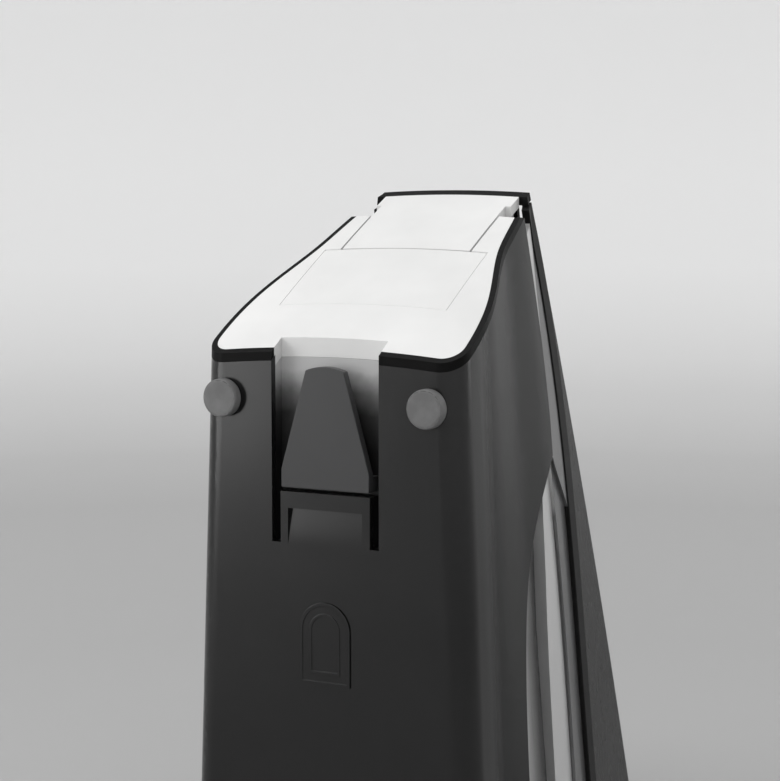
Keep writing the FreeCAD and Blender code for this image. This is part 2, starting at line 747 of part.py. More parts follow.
def add_outline(sketch, corners):
    """Closed outline through corners given as pairs of formulas on the sheet."""
    places = [(evaluate(sketch, x), evaluate(sketch, y)) for x, y in corners]
    count = len(corners)
    first = sketch.GeometryCount
    for index, (x, y) in enumerate(places):
        next_x, next_y = places[(index + 1) % count]
        sketch.addGeometry(Part.LineSegment(Vector(x, y, 0), Vector(next_x, next_y, 0)), False)
    for index in range(count):
        sketch.addConstraint(Sketcher.Constraint("Coincident", first + index, 2,
                                                 first + (index + 1) % count, 1))
    for index, (x, y) in enumerate(corners):
        for kind, formula, value in (("DistanceX", x, places[index][0]),
                                     ("DistanceY", y, places[index][1])):
            number = sketch.addConstraint(Sketcher.Constraint(kind, -1, 1, first + index, 1, value))
            sketch.setExpression("Constraints[%d]" % number, bound(formula))


def add_circle(sketch, radius, x="0", y="0"):
    at = Vector(evaluate(sketch, x), evaluate(sketch, y), 0)
    circle = sketch.addGeometry(Part.Circle(at, Vector(0, 0, 1), evaluate(sketch, radius)), False)
    number = sketch.addConstraint(Sketcher.Constraint("Radius", circle, evaluate(sketch, radius)))
    sketch.setExpression("Constraints[%d]" % number, bound(radius))
    if x == "0" and y == "0":
        sketch.addConstraint(Sketcher.Constraint("Coincident", circle, 3, -1, 1))
        return
    for kind, formula, value in (("DistanceX", x, at.x), ("DistanceY", y, at.y)):
        number = sketch.addConstraint(Sketcher.Constraint(kind, -1, 1, circle, 3, value))
        sketch.setExpression("Constraints[%d]" % number, bound(formula))


def evaluate(holder, formula):
    """Value of a formula on the sheet."""
    return float(holder.evalExpression(bound(formula)))


def new_body(name, place):
    body = doc.addObject("PartDesign::Body", name)
    body.Placement = place
    return body


def pad(body, sketch, length):
    feature_ = body.newObject("PartDesign::Pad", sketch.Name + "_pad")
    feature_.Profile = sketch
    feature_.setExpression("Length", bound(length))
    body.Tip = feature_
    return feature_


def turned_body(name, profile, place):
    """Body of revolution: corners are (radius, height) formulas, the axis is +Z."""
    body = new_body(name, place)
    sketch = sketch_on(body, "XZ_Plane", name + "_profile")
    add_outline(sketch, profile)
    turn = body.newObject("PartDesign::Revolution", name + "_turn")
    turn.Profile = sketch
    turn.ReferenceAxis = (sketch, ["V_Axis"])
    turn.Angle = 360
    body.Tip = turn
    return body


def facing(x, depth, height, turn=UPRIGHT):
    return Placement(Vector(x, ahead(depth), height), turn)


BACKWARD = Rotation(Vector(1, 0, 0), -90)   # a body's +Z turned to +Y
DOWN = Rotation(Vector(1, 0, 0), 180)

feet = []
for number, (x, depth) in enumerate(foot_places, start=1):
    feet.append(turned_body("foot_%d" % number,
                            [("0", "0"), ("foot_radius - 0.8", "0"), ("foot_radius", "0.8"),
                             ("foot_radius", "floor_gap + 1.0"), ("0", "floor_gap + 1.0")],
                            facing(x, depth, 0)))
keep(group("base_feet_group", *feet), "base_feet")

bumpers = []
for number, x in enumerate(bumper_places, start=1):
    bumpers.append(turned_body(
        "bumper_%d" % number,
        [("0", "0 - wall"), ("bumper_radius - 1.55", "0 - wall"), ("bumper_radius - 1.55", "0"),
         ("bumper_radius", "0"), ("bumper_radius", "bumper_stand - 0.7"),
         ("bumper_radius - 0.7", "bumper_stand"), ("0", "bumper_stand")],
        facing(x, 0, EDGE - size("bumper_drop"), BACKWARD)))
keep(group("rear_bumpers_group", *bumpers), "rear_bumpers")

screws = []
for number, (x, depth) in enumerate(screw_places, start=1):
    screws.append(turned_body(
        "screw_%d" % number,
        [("0", "0"), ("screw_head_radius", "0"), ("screw_head_radius", "screw_head - 0.1"),
         ("screw_radius", "screw_head - 0.1"), ("screw_radius", "screw_length"),
         ("0", "screw_length")], facing(x, depth, FLOOR)))
keep(group("base_screws_group", *screws), "base_screws")

gland = turned_body(
    "cord_gland_body",
    [("gland_bore", "0 - gland_length"), ("gland_radius - 1.2", "0 - gland_length"),
     ("gland_radius - 0.1", "0 - wall"), ("gland_radius - 0.1", "0"), ("gland_radius + 1.4", "0"),
     ("gland_radius + 1.0", "1.6"), ("gland_bore + 1.0", "1.6"), ("gland_bore", "0.8")],
    facing(0, 0, size("gland_height"), BACKWARD))
keep(gland, "cord_gland")

# ---------------------------------------------------------------- lever and its hinge
lever_half = size("lever_half")
pin = rod("lever_pin", -size("pin_length") / 2, size("pin_depth"), pin_height,
          "pin_radius", "pin_length", SIDEWAYS)
keep(pin, "lever_pivot_pin")

arm_slab = crown(0, size("lever_thick"))
arm = arm_slab.common(block(-lever_half, lever_half, size("pin_depth"), size("lever_front"), 0, 300))
arm_tail = arm_slab.common(pin_disc(size("hinge_sweep"), lever_half))
arm = arm.fuse(arm_tail.common(block(-lever_half, lever_half, 0, size("pin_depth"), 0, 300)))
wide_half = size("lever_wide_half")
arm = arm.fuse(crown(0, 3.4).common(block(-wide_half, wide_half, size("lever_step"),
                                          size("lever_front"), 0, 300)))
skirt = size("lever_skirt")
arm = arm.cut(crown(size("lever_skin"), BEYOND).common(
    block(-lever_half + skirt, lever_half - skirt, size("pin_depth") + 5,
          size("lever_front") - skirt, 0, 300)))
arm = arm.cut(pin_disc(size("pin_radius") + size("running_gap"), lever_half + 1))
switch_top = crown_height(size("switch_depth")) - size("switch_drop")
button_top = switch_top + size("button_stand")
peg_gap = 0.5
peg = round_bar(2.0, crown_height(size("switch_depth")) - 1.2 - button_top - peg_gap,
                size("switch_side"), size("switch_depth"), button_top + peg_gap, Vector(0, 0, 1))
arm = arm.fuse(peg.cut(crown(-BEYOND, 0.5)))
keep(feature("lever_arm_shape", one_solid(arm)), "lever_arm")


def front_depth(height):
    """Depth of the front face at a height on the centre line."""
    level = line(Vector(0, ahead(0), height), Vector(0, ahead(300), height))
    return REAR - front_line[0].distToShape(level)[1][0][0].y


rim = full.common(crown(0, size("rim_tall"))).common(behind(front_line))
rim = rim.common(block(-60, 60, size("lever_front"), 200, 0, 300))
plate = between(moved(front_line, -size("plate_thick")), front_line)
plate = under_crown(plate, 0.5).common(block(-lever_half, lever_half, size("lever_front"), 200,
                                             size("plate_foot"), 300))
lug_radius = size("lug_radius")
lug_depth = front_depth(size("arm_pin_height")) + size("arm_pin_radius") + lug_radius
lugs = []
for side in (1, -1):
    near = side * (size("arm_width") / 2 + size("lug_gap"))
    far = near + side * size("lug_thick")
    x_low, x_high = min(near, far), max(near, far)
    lugs.append(block(x_low, x_high, front_depth(size("arm_pin_height") + lug_radius) - 2, lug_depth,
                      size("arm_pin_height") - lug_radius, size("arm_pin_height") + lug_radius))
    lugs.append(round_bar(lug_radius, x_high - x_low, x_low, lug_depth, size("arm_pin_height"),
                          TO_SIDE))
front_plate = rim.fuse(plate)
for lug in lugs:
    front_plate = front_plate.fuse(lug)
front_plate = front_plate.cut(round_bar(size("arm_pin_radius"), 40, -20, lug_depth,
                                        size("arm_pin_height"), TO_SIDE))
keep(feature("lever_front_shape", one_solid(front_plate)), "lever_front")

magnet_pin = rod("magnet_pin", -size("arm_width") / 2 - size("lug_gap") - size("lug_thick"), lug_depth,
                 size("arm_pin_height"), "arm_pin_radius", "arm_width + 2 * (lug_gap + lug_thick)",
                 SIDEWAYS)
keep(magnet_pin, "magnet_pivot_pin")

# ---------------------------------------------------------------- magnet arm
cup_radius = size("magnet_radius") + size("cup_wall")
cup_depth = size("magnet_reach") - cup_radius
cup_top = size("magnet_height") + size("magnet_thick") + size("cup_wall")
half_arm = size("arm_width") / 2
arm_thick = size("arm_thick")
knuckle = size("arm_pin_radius") + arm_thick
strip = [side_point(lug_depth, EDGE - size("arm_pin_height") - knuckle, -half_arm),
         side_point(cup_depth - 4, EDGE - cup_top - 8, -half_arm),
         side_point(cup_depth + 2, EDGE - cup_top, -half_arm),
         side_point(cup_depth - 1.5, EDGE - cup_top, -half_arm),
         side_point(cup_depth - 5.5, EDGE - cup_top - 8 + arm_thick, -half_arm),
         side_point(lug_depth, EDGE - size("arm_pin_height") - knuckle + arm_thick, -half_arm)]
swing_arm = Part.Face(Part.makePolygon(strip + strip[:1])).extrude(TO_SIDE * size("arm_width"))
swing_arm = swing_arm.fuse(round_bar(knuckle, size("arm_width"), -half_arm, lug_depth,
                                     size("arm_pin_height"), TO_SIDE))
swing_arm = swing_arm.cut(round_bar(size("arm_pin_radius") + size("running_gap"), 40, -20, lug_depth,
                                    size("arm_pin_height"), TO_SIDE))
keep(feature("magnet_arm_shape", one_solid(swing_arm)), "magnet_arm")

keep(turned_body("magnet_cup_body",
                 [("0", "0"), ("magnet_radius + cup_wall", "0"),
                  ("magnet_radius + cup_wall", "magnet_thick + cup_wall - 0.4"),
                  ("magnet_radius", "magnet_thick + cup_wall - 0.4"),
                  ("magnet_radius", "cup_wall"), ("0", "cup_wall")],
                 facing(0, cup_depth, cup_top, DOWN)), "magnet_cup")
keep(rod("lid_magnet_bar", 0, cup_depth, size("magnet_height"), "magnet_radius", "magnet_thick",
         UPRIGHT), "lid_magnet")

# ---------------------------------------------------------------- cutter and can guides
wheel_back = front_depth(drive_height - size("drive_radius")) + size("drive_stand")
wheel_front = wheel_back + size("drive_thick")
cutter_height = (drive_height + size("drive_radius") + size("cutter_radius")
                 - size("cutter_bite"))
blade_back = wheel_front + 1.4
axle_back = front_depth(cutter_height) - size("plate_thick") / 2
axle_length = blade_back + size("cutter_thick") + 2.4 - axle_back
axle = turned_body(
    "cutter_axle_body",
    [("0", "0"), ("cutter_boss_radius", "0"), ("cutter_boss_radius", str(blade_back - 0.4 - axle_back)),
     ("cutter_axle_radius", str(blade_back - 0.4 - axle_back)),
     ("cutter_axle_radius", str(axle_length)), ("0", str(axle_length))],
    facing(0, axle_back, cutter_height, FORWARD))
boss_cut = cut("axle_less_plate", axle, feature("plate_copy", one_solid(front_plate)))
keep(boss_cut, "cutter_axle")

blade = turned_body(
    "cutter_wheel_body",
    [("cutter_axle_radius + running_gap", "0"), ("cutter_radius - 1.6", "0"),
     ("cutter_radius", "cutter_edge"), ("cutter_radius", "cutter_edge + 0.1"),
     ("cutter_radius - 3.4", "cutter_thick"), ("cutter_axle_radius + running_gap", "cutter_thick")],
    facing(0, blade_back, cutter_height, FORWARD))
keep(blade, "cutter_wheel")
keep(turned_body("cutter_cap_body",
                 [("cutter_axle_radius", "0"), ("cutter_axle_radius + 1.9", "0"),
                  ("cutter_axle_radius + 1.4", "1.2"), ("cutter_axle_radius", "1.2")],
                 facing(0, blade_back + size("cutter_thick") + 0.4, cutter_height, FORWARD)),
     "cutter_cap")

guides = []
for number, side in enumerate((1, -1), start=1):
    guide_back = front_depth(drive_height) - size("wall") / 2
    guides.append(turned_body(
        "guide_%d" % number,
        [("0", "0"), ("guide_radius", "0"), ("guide_radius", "guide_reach"),
         ("guide_radius - 0.8", "guide_reach + 0.8"), ("0", "guide_reach + 0.8")],
        facing(side * size("guide_offset"), guide_back, drive_height, FORWARD)))
guide_group = group("rim_guides_group", *guides)
keep(guide_group, "rim_guides")

# ---------------------------------------------------------------- drive wheel
drive = new_body("drive_wheel_body", facing(0, wheel_back, drive_height, FORWARD))
disc = sketch_on(drive, "XY_Plane", "drive_disc")
add_circle(disc, "drive_radius")
add_circle(disc, "shaft_radius")
pad(drive, disc, "drive_thick")
doc.recompute()
plain_volume = drive.Shape.Volume
notch_sketch = sketch_on(drive, "XY_Plane", "drive_notch_outline")
add_outline(notch_sketch, [("drive_radius - drive_notch", "0"), ("drive_radius + 0.3", "0 - drive_notch"),
                           ("drive_radius + 0.3", "drive_notch")])
notch = drive.newObject("PartDesign::Pocket", "drive_notch_cut")
notch.Profile = notch_sketch
notch.Type = 1
notch.Reversed = True
drive.Tip = notch
around = drive.newObject("PartDesign::PolarPattern", "drive_serrations")
around.Originals = [notch]
around.Axis = (disc, ["N_Axis"])
around.setExpression("Occurrences", bound("drive_teeth"))
drive.Tip = around
doc.recompute()
if drive.Shape.Volume > plain_volume * 0.99:
    raise ValueError("the drive wheel's serrations cut nothing")
keep(drive, "drive_wheel")

# ---------------------------------------------------------------- gear train
gear_start = size("rear_plate_depth") + size("gear_plate_thick") + size("gear_clear")
layer_step = size("gear_face") + 2.0
shaft_start = size("rear_plate_depth") - 1.0
front_plate_depth = size("rear_plate_depth") + size("gear_plate_thick") + size("plate_gap")
front_plate_end = front_plate_depth + size("gear_plate_thick")
shaft_end = front_plate_end + 0.8


def spaced(centre, sideways, distance):
    """Centre of the next gear down, at a sideways place and a distance."""
    run = sideways - centre[0]
    return (sideways, centre[1] - math.sqrt(distance ** 2 - run ** 2))


def mesh_distance(module, teeth_a, teeth_b):
    return size(module) * (size(teeth_a) + size(teeth_b)) / 2


drive_axis = (0.0, drive_height)
second_axis = spaced(drive_axis, -size("second_offset"),
                     mesh_distance("coarse_module", "output_teeth", "second_pinion_teeth"))
first_axis = spaced(second_axis, size("first_offset"),
                    mesh_distance("fine_module", "second_gear_teeth", "first_pinion_teeth"))
motor_axis = spaced(first_axis, 0.0,
                    mesh_distance("fine_module", "first_gear_teeth", "motor_pinion_teeth"))


def toothed(name, axis, depth, module, teeth, partner, tooth_at_partner, bore, face="gear_face"):
    """Spur gear with straight-sided teeth; a tooth or a gap points at its partner."""
    gear = new_body(name, facing(axis[0], depth, axis[1], FORWARD))
    sketch = sketch_on(gear, "XY_Plane", name + "_teeth")
    count = int(size(teeth))
    unit = size(module)
    pitch = unit * count / 2
    tip, root = pitch + 0.8 * unit, pitch - 1.1 * unit
    half_pitch = math.pi * unit / 4 * 0.84
    half_tip, half_root = half_pitch - 0.34 * unit, half_pitch + 0.22 * unit
    toward = math.atan2(partner[1] - axis[1], partner[0] - axis[0])
    if not tooth_at_partner:
        toward += math.pi / count
    corners = []
    for number in range(count):
        middle = toward + 2 * math.pi * number / count
        for radius, half in ((root, -half_root), (tip, -half_tip), (tip, half_tip), (root, half_root)):
            turn = middle + half / radius
            corners.append(Vector(radius * math.cos(turn), radius * math.sin(turn), 0))
    for number, start in enumerate(corners):
        sketch.addGeometry(Part.LineSegment(start, corners[(number + 1) % len(corners)]), False)
    add_circle(sketch, bore)
    pad(gear, sketch, face)
    return gear


layers = [gear_start + layer_step * number for number in range(3)]
keep(toothed("output_gear_body", drive_axis, layers[0], "coarse_module", "output_teeth",
             second_axis, True, "shaft_radius"), "output_gear")
keep(toothed("second_pinion_body", second_axis, layers[0] - 0.5, "coarse_module",
             "second_pinion_teeth", drive_axis, False, "idler_radius", "gear_face + 2.0"),
     "second_pinion")
keep(toothed("second_gear_body", second_axis, layers[1], "fine_module", "second_gear_teeth",
             first_axis, True, "idler_radius"), "second_gear")
keep(toothed("first_pinion_body", first_axis, layers[1] - 0.5, "fine_module",
             "first_pinion_teeth", second_axis, False, "idler_radius", "gear_face + 2.0"),
     "first_pinion")
keep(toothed("first_gear_body", first_axis, layers[2], "fine_module", "first_gear_teeth",
             motor_axis, True, "idler_radius"), "first_gear")
keep(toothed("motor_pinion_body", motor_axis, layers[2] - 0.5, "fine_module",
             "motor_pinion_teeth", first_axis, False, "motor_shaft_radius", "gear_face + 1.0"),
     "motor_pinion")

keep(rod("drive_shaft_bar", 0, shaft_start, drive_height, "shaft_radius",
         str(wheel_front + 0.6 - shaft_start)), "drive_shaft")
idler_length = str(shaft_end - shaft_start)
keep(rod("second_shaft_bar", second_axis[0], shaft_start, second_axis[1], "idler_radius",
         idler_length), "second_shaft")
keep(rod("first_shaft_bar", first_axis[0], shaft_start, first_axis[1], "idler_radius",
         idler_length), "first_shaft")

# ---------------------------------------------------------------- gear plates
bush_radius = size("shaft_radius") + size("bush_wall")


def drilled_plate(name, depth, bottom, holes):
    """Upright steel plate with round holes given as (x, height, radius)."""
    place = facing(-size("gear_plate_half"), depth + size("gear_plate_thick"), bottom)
    sheet_plate = primitive("Box", name + "_blank", place, Length="2 * gear_plate_half",
                            Width="gear_plate_thick", Height=str(size("plate_top") - bottom))
    tools = [rod("%s_hole_%d" % (name, number), x, depth - 1, height, str(radius),
                 "gear_plate_thick + 2") for number, (x, height, radius) in enumerate(holes)]
    return cut(name, sheet_plate, *tools)


run = size("running_gap")
stud_out = size("stator_half") - size("stud_inset")
stud_places = [(side_x * stud_out, motor_axis[1] + side_z * stud_out)
               for side_x in (1, -1) for side_z in (1, -1)]
stud_radius = size("stud_radius")
stud_holes = [(x, z, stud_radius) for x, z in stud_places]
idler_holes = [(*second_axis, size("idler_radius") + run), (*first_axis, size("idler_radius") + run)]
rear_holes = idler_holes + stud_holes + [(*drive_axis, size("shaft_radius") + run),
                                         (*motor_axis, size("bearing_radius"))]
plate_bottom = FLOOR + size("base_thick")
keep(drilled_plate("rear_gear_plate_cut", size("rear_plate_depth"), plate_bottom, rear_holes),
     "rear_gear_plate")
front_holes = idler_holes + [(*drive_axis, bush_radius),
                             (*motor_axis, size("motor_shaft_radius") + run)]
keep(drilled_plate("front_gear_plate_cut", front_plate_depth, size("plate_bottom"), front_holes),
     "front_gear_plate")

pillar_side = size("gear_plate_half") - size("pillar_radius") - 1
pillars = [rod("pillar_%d" % number, side * pillar_side,
               size("rear_plate_depth") + size("gear_plate_thick"), height, "pillar_radius",
               "plate_gap")
           for number, (side, height) in enumerate(
               [(x, z) for x in (1, -1) for z in (size("plate_top") - 5, size("plate_bottom") + 5)])]
keep(group("plate_pillars_group", *pillars), "plate_pillars")

keep(turned_body("drive_bushing_body",
                 [("shaft_radius + running_gap", "0"), ("shaft_radius + bush_wall", "0"),
                  ("shaft_radius + bush_wall", "gear_plate_thick + 1"),
                  ("shaft_radius + bush_wall + 1.5", "gear_plate_thick + 1"),
                  ("shaft_radius + bush_wall + 1.5", "gear_plate_thick + 3"),
                  ("shaft_radius + running_gap", "gear_plate_thick + 3")],
                 facing(0, front_plate_depth - 1, drive_height, FORWARD)), "drive_bushing")

# ---------------------------------------------------------------- motor
stator_end = size("rear_plate_depth") - size("stator_gap")
stator_start = stator_end - size("stator_long")
stator_blank = primitive("Box", "stator_blank",
                         facing(-size("stator_half"), stator_end, motor_axis[1] - size("stator_half")),
                         Length="2 * stator_half", Width="stator_long", Height="2 * stator_half")
stator_bore = rod("stator_bore", 0, stator_start - 1, motor_axis[1], "rotor_radius + air_gap",
                  "stator_long + 2")
stud_tools = [rod("stator_hole_%d" % number, x, stator_start - 1, z, str(stud_radius + 0.1),
                  "stator_long + 2") for number, (x, z) in enumerate(stud_places)]
keep(cut("stator_core", stator_blank, stator_bore, *stud_tools), "motor_stator")

coils = []
for number, start in enumerate((stator_start - size("coil_thick") + 0.8, stator_end), start=1):
    ring = rod("coil_%d_disc" % number, 0, start, motor_axis[1], "rotor_radius + coil_thick",
               "coil_thick - 0.8")
    eye = rod("coil_%d_eye" % number, 0, start - 1, motor_axis[1], "rotor_radius + air_gap",
              "coil_thick + 2")
    coils.append(cut("coil_%d" % number, ring, eye))
keep(group("motor_coils_group", *coils), "motor_coils")

bracket_end = stator_start - size("coil_thick") - 1
bracket_start = bracket_end - size("gear_plate_thick")
bracket_blank = primitive("Box", "bracket_blank",
                          facing(-size("stator_half"), bracket_end, motor_axis[1] - size("stator_half")),
                          Length="2 * stator_half", Width="gear_plate_thick",
                          Height="2 * stator_half")
bracket_tools = [rod("bracket_bore", 0, bracket_start - 1, motor_axis[1], "bearing_radius",
                     "gear_plate_thick + 2")]
bracket_tools += [rod("bracket_hole_%d" % number, x, bracket_start - 1, z, str(stud_radius),
                      "gear_plate_thick + 2") for number, (x, z) in enumerate(stud_places)]
keep(cut("motor_bracket_cut", bracket_blank, *bracket_tools), "motor_bracket")

stud_length = str(size("rear_plate_depth") + size("gear_plate_thick") - bracket_start + 1)
studs = [rod("stud_%d" % number, x, bracket_start - 1, z, str(stud_radius), stud_length)
         for number, (x, z) in enumerate(stud_places)]
keep(group("motor_studs_group", *studs), "motor_studs")

bearing_profile = [("motor_shaft_radius + running_gap", "0"), ("bearing_radius", "0"),
                   ("bearing_radius", "bearing_thick"),
                   ("motor_shaft_radius + running_gap", "bearing_thick")]
bearing_places = (bracket_start - 1, size("rear_plate_depth") - 1.2)
bearings = [turned_body("bearing_%d" % number, bearing_profile,
                        facing(0, depth, motor_axis[1], FORWARD))
            for number, depth in enumerate(bearing_places)]
keep(group("motor_bearings_group", *bearings), "motor_bearings")

rotor_disc = rod("rotor_disc", 0, stator_start, motor_axis[1], "rotor_radius", "stator_long")
rotor_bore = rod("rotor_bore", 0, stator_start - 1, motor_axis[1], "motor_shaft_radius",
                 "stator_long + 2")
keep(cut("rotor_core_cut", rotor_disc, rotor_bore), "motor_rotor")

fan_start = bracket_start - 2.5 - size("fan_thick")
fan_hub = rod("fan_hub", 0, fan_start, motor_axis[1], "motor_shaft_radius + 3", "fan_thick")
blade_pieces = []
for number in range(int(size("fan_blades"))):
    turn = Rotation(Vector(0, 1, 0), 360.0 * number / size("fan_blades"))
    root = Vector(size("motor_shaft_radius") + 2, 0, 0)
    place = Placement(Vector(0, ahead(fan_start + size("fan_thick")), motor_axis[1])
                      + turn.multVec(root), turn.multiply(Rotation(Vector(1, 0, 0), 30)))
    blade_pieces.append(primitive("Box", "fan_blade_%d" % number, place,
                                  Length="fan_radius - motor_shaft_radius - 2",
                                  Width="fan_thick - 1", Height="1.0"))
fan_bore = rod("fan_bore", 0, fan_start - 1, motor_axis[1], "motor_shaft_radius", "fan_thick + 2")
keep(cut("cooling_fan_cut", fuse("fan_solid", fan_hub, *blade_pieces), fan_bore), "cooling_fan")

keep(rod("motor_shaft_bar", 0, fan_start - 1, motor_axis[1], "motor_shaft_radius",
         str(shaft_end - fan_start + 1)), "motor_shaft")

# ---------------------------------------------------------------- switch
switch_block = primitive(
    "Box", "switch_block",
    facing(size("switch_side") - size("switch_wide") / 2,
           size("switch_depth") + size("switch_long") / 2 - 3, switch_top - size("switch_tall")),
    Length="switch_wide", Width="switch_long", Height="switch_tall")
button_deep = size("button_travel") + 1.6
button_room = rod("button_room", size("switch_side"), size("switch_depth"),
                  switch_top - button_deep - size("button_travel"), "button_radius + running_gap",
                  str(button_deep + size("button_travel") + 1), UPRIGHT)
keep(cut("micro_switch_cut", switch_block, button_room), "micro_switch")
keep(rod("switch_button_bar", size("switch_side"), size("switch_depth"), switch_top - button_deep,
         "button_radius", str(button_deep + size("button_stand")), UPRIGHT), "switch_button")
keep(primitive("Box", "switch_shelf_block",
               facing(size("switch_side") - 5, front_plate_depth,
                      switch_top - size("switch_tall") - 1.2),
               Length="gear_plate_half - switch_side + 5",
               Width=str(front_plate_depth - size("switch_depth") + size("switch_long") / 2),
               Height="1.2"), "switch_shelf")

# ---------------------------------------------------------------- finish
doc.recompute()
for thing in doc.Objects:
    if "Invalid" in thing.State or "Error" in thing.State:
        raise ValueError("%s could not be built: %s" % (thing.Name, thing.State))
for node, piece in nodes.items():
    if piece.Shape.isNull() or not piece.Shape.isValid() or not piece.Shape.Solids:
        raise ValueError("%s has no valid solid" % node)
for node, piece in nodes.items():
    piece.Shape.exportStep("parts/%s.step" % node)
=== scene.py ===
import bpy
import bmesh
import math
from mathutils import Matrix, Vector


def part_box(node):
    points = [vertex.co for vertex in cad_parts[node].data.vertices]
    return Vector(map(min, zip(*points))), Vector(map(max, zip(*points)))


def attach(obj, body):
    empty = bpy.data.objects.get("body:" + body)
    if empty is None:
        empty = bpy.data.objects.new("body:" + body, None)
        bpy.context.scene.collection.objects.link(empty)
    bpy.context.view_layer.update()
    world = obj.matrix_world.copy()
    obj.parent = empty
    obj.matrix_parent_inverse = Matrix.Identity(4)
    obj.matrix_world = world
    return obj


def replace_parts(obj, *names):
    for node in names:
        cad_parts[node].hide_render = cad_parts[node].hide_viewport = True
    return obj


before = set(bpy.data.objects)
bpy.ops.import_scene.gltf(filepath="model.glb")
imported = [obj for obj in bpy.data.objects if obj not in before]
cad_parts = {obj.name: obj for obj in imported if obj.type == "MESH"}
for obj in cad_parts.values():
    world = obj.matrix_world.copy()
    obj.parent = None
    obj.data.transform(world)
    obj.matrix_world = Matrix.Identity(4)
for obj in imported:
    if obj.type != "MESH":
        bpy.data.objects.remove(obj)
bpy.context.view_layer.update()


# ---- Studio: a round pale sweep, three soft boxes and the camera.
# The sweep is a lathed bowl of matt card: flat under the can opener, curving up all round it.
# Its colour is painted shade, darker on the floor and paler up the curve.
# The camera stands behind the opener, to its left, a little above its top.
class Signal:
    """One value in a node tree; arithmetic on it adds the Math nodes that work it out."""

    def __init__(self, socket):
        self.socket = socket

    def maths(self, operation, *values):
        """The Math node for an operation on these values."""
        made = self.socket.id_data.nodes.new("ShaderNodeMath")
        made.operation = operation
        for number, value in enumerate(values):
            if isinstance(value, Signal):
                self.socket.id_data.links.new(value.socket, made.inputs[number])
            else:
                made.inputs[number].default_value = value
        return Signal(made.outputs[0])

    def __add__(self, other):
        return self.maths("ADD", self, other)

    def __sub__(self, other):
        return self.maths("SUBTRACT", self, other)

    def __rsub__(self, other):
        return self.maths("SUBTRACT", other, self)

    def __mul__(self, other):
        return self.maths("MULTIPLY", self, other)

    __radd__ = __add__
    __rmul__ = __mul__

    def least(self, other):
        return self.maths("MINIMUM", self, other)

    def most(self, other):
        return self.maths("MAXIMUM", self, other)


class Finish:
    """A surface finish: one material, its shader, and the nodes that vary it."""

    def __init__(self, name, **sockets):
        self.material = bpy.data.materials.new(name)
        self.material.use_nodes = True
        self.tree = self.material.node_tree
        self.shader = self.tree.nodes["Principled BSDF"]
        self.feed(**sockets)
        self.place = self.node("TexCoord", output="Object")

    def node(self, kind, settings=(), inputs=(), output=0):
        """One node: its type, its settings, then the values or links of its sockets."""
        made = self.tree.nodes.new("ShaderNode" + kind)
        for key, value in dict(settings).items():
            if key == "stops":
                while len(made.color_ramp.elements) < len(value):
                    made.color_ramp.elements.new(0.5)
                for element, (position, tone) in zip(made.color_ramp.elements, value):
                    element.position = position
                    element.color = (tone, tone, tone, 1)
            else:
                setattr(made, key, value)
        for key, value in dict(inputs).items():
            if isinstance(value, Signal):
                self.tree.links.new(value.socket, made.inputs[key])
            else:
                made.inputs[key].default_value = value
        return Signal(made.outputs[output])

    def feed(self, **sockets):
        """Set or link the shader's sockets, named with underscores for spaces."""
        for key, value in sockets.items():
            socket = self.shader.inputs[key.replace("_", " ").title().replace("Ior", "IOR")]
            if isinstance(value, Signal):
                self.tree.links.new(value.socket, socket)
            elif isinstance(value, tuple):
                socket.default_value = (*value, 1)
            else:
                socket.default_value = value

    def coat(self, share, other):
        """Blend the main shader with another one by a share from 0 to 1."""
        blend = self.node("MixShader", {}, {0: share, 1: Signal(self.shader.outputs[0]), 2: other})
        self.tree.links.new(blend.socket, self.tree.nodes["Material Output"].inputs["Surface"])

    def grain(self, size, detail=2.0, stretch=(1, 1, 1), lift=0.5):
        """Noise whose blotches are about this many metres across, stretched along an axis."""
        where = self.node("Mapping", {}, {"Vector": self.place, "Scale": stretch})
        return self.node("TexNoise", {}, {"Vector": where, "Scale": 1 / size, "Detail": detail,
                                          "Roughness": lift}, "Fac")

    def ramp(self, signal, *stops):
        return self.node("ValToRGB", {"stops": stops}, {0: signal}, "Color")

    def tint(self, share, low, high):
        """Colour between two, by a share from 0 to 1."""
        return self.node("Mix", {"data_type": "RGBA"}, {0: share, 6: (*low, 1), 7: (*high, 1)}, 2)

    def dent(self, height, depth, strength=1.0, under=None):
        """Bump from a height of 0 to 1, this many metres deep."""
        sockets = {"Height": height, "Distance": depth, "Strength": strength}
        if under is not None:
            sockets["Normal"] = under
        return self.node("Bump", {}, sockets)


rear_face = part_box("rear_housing")[1].y
rear_edge = 0.189                       # height of the rear face's top edge

card = Finish("studio card", roughness=0.9, specular_ior_level=0.1)
card_flat = card.node("VectorMath", {"operation": "MULTIPLY"}, {0: card.place, 1: (1, 1, 0)})
card_reach = card.node("VectorMath", {"operation": "LENGTH"}, {0: card_flat}, "Value")
# Painted shade: the card is darker on the floor under the opener and paler up the curve.
card_painted_falloff = card.ramp(card_reach * 0.5 + card.grain(0.4) * 0.01, (0.20, 0.42), (0.42, 0.47),
                      (0.545, 0.56), (0.635, 0.69), (0.705, 0.84), (0.755, 0.93), (0.82, 0.96))
card.feed(base_color=card_painted_falloff, normal=card.dent(card.grain(0.004), 0.0002, 0.3))

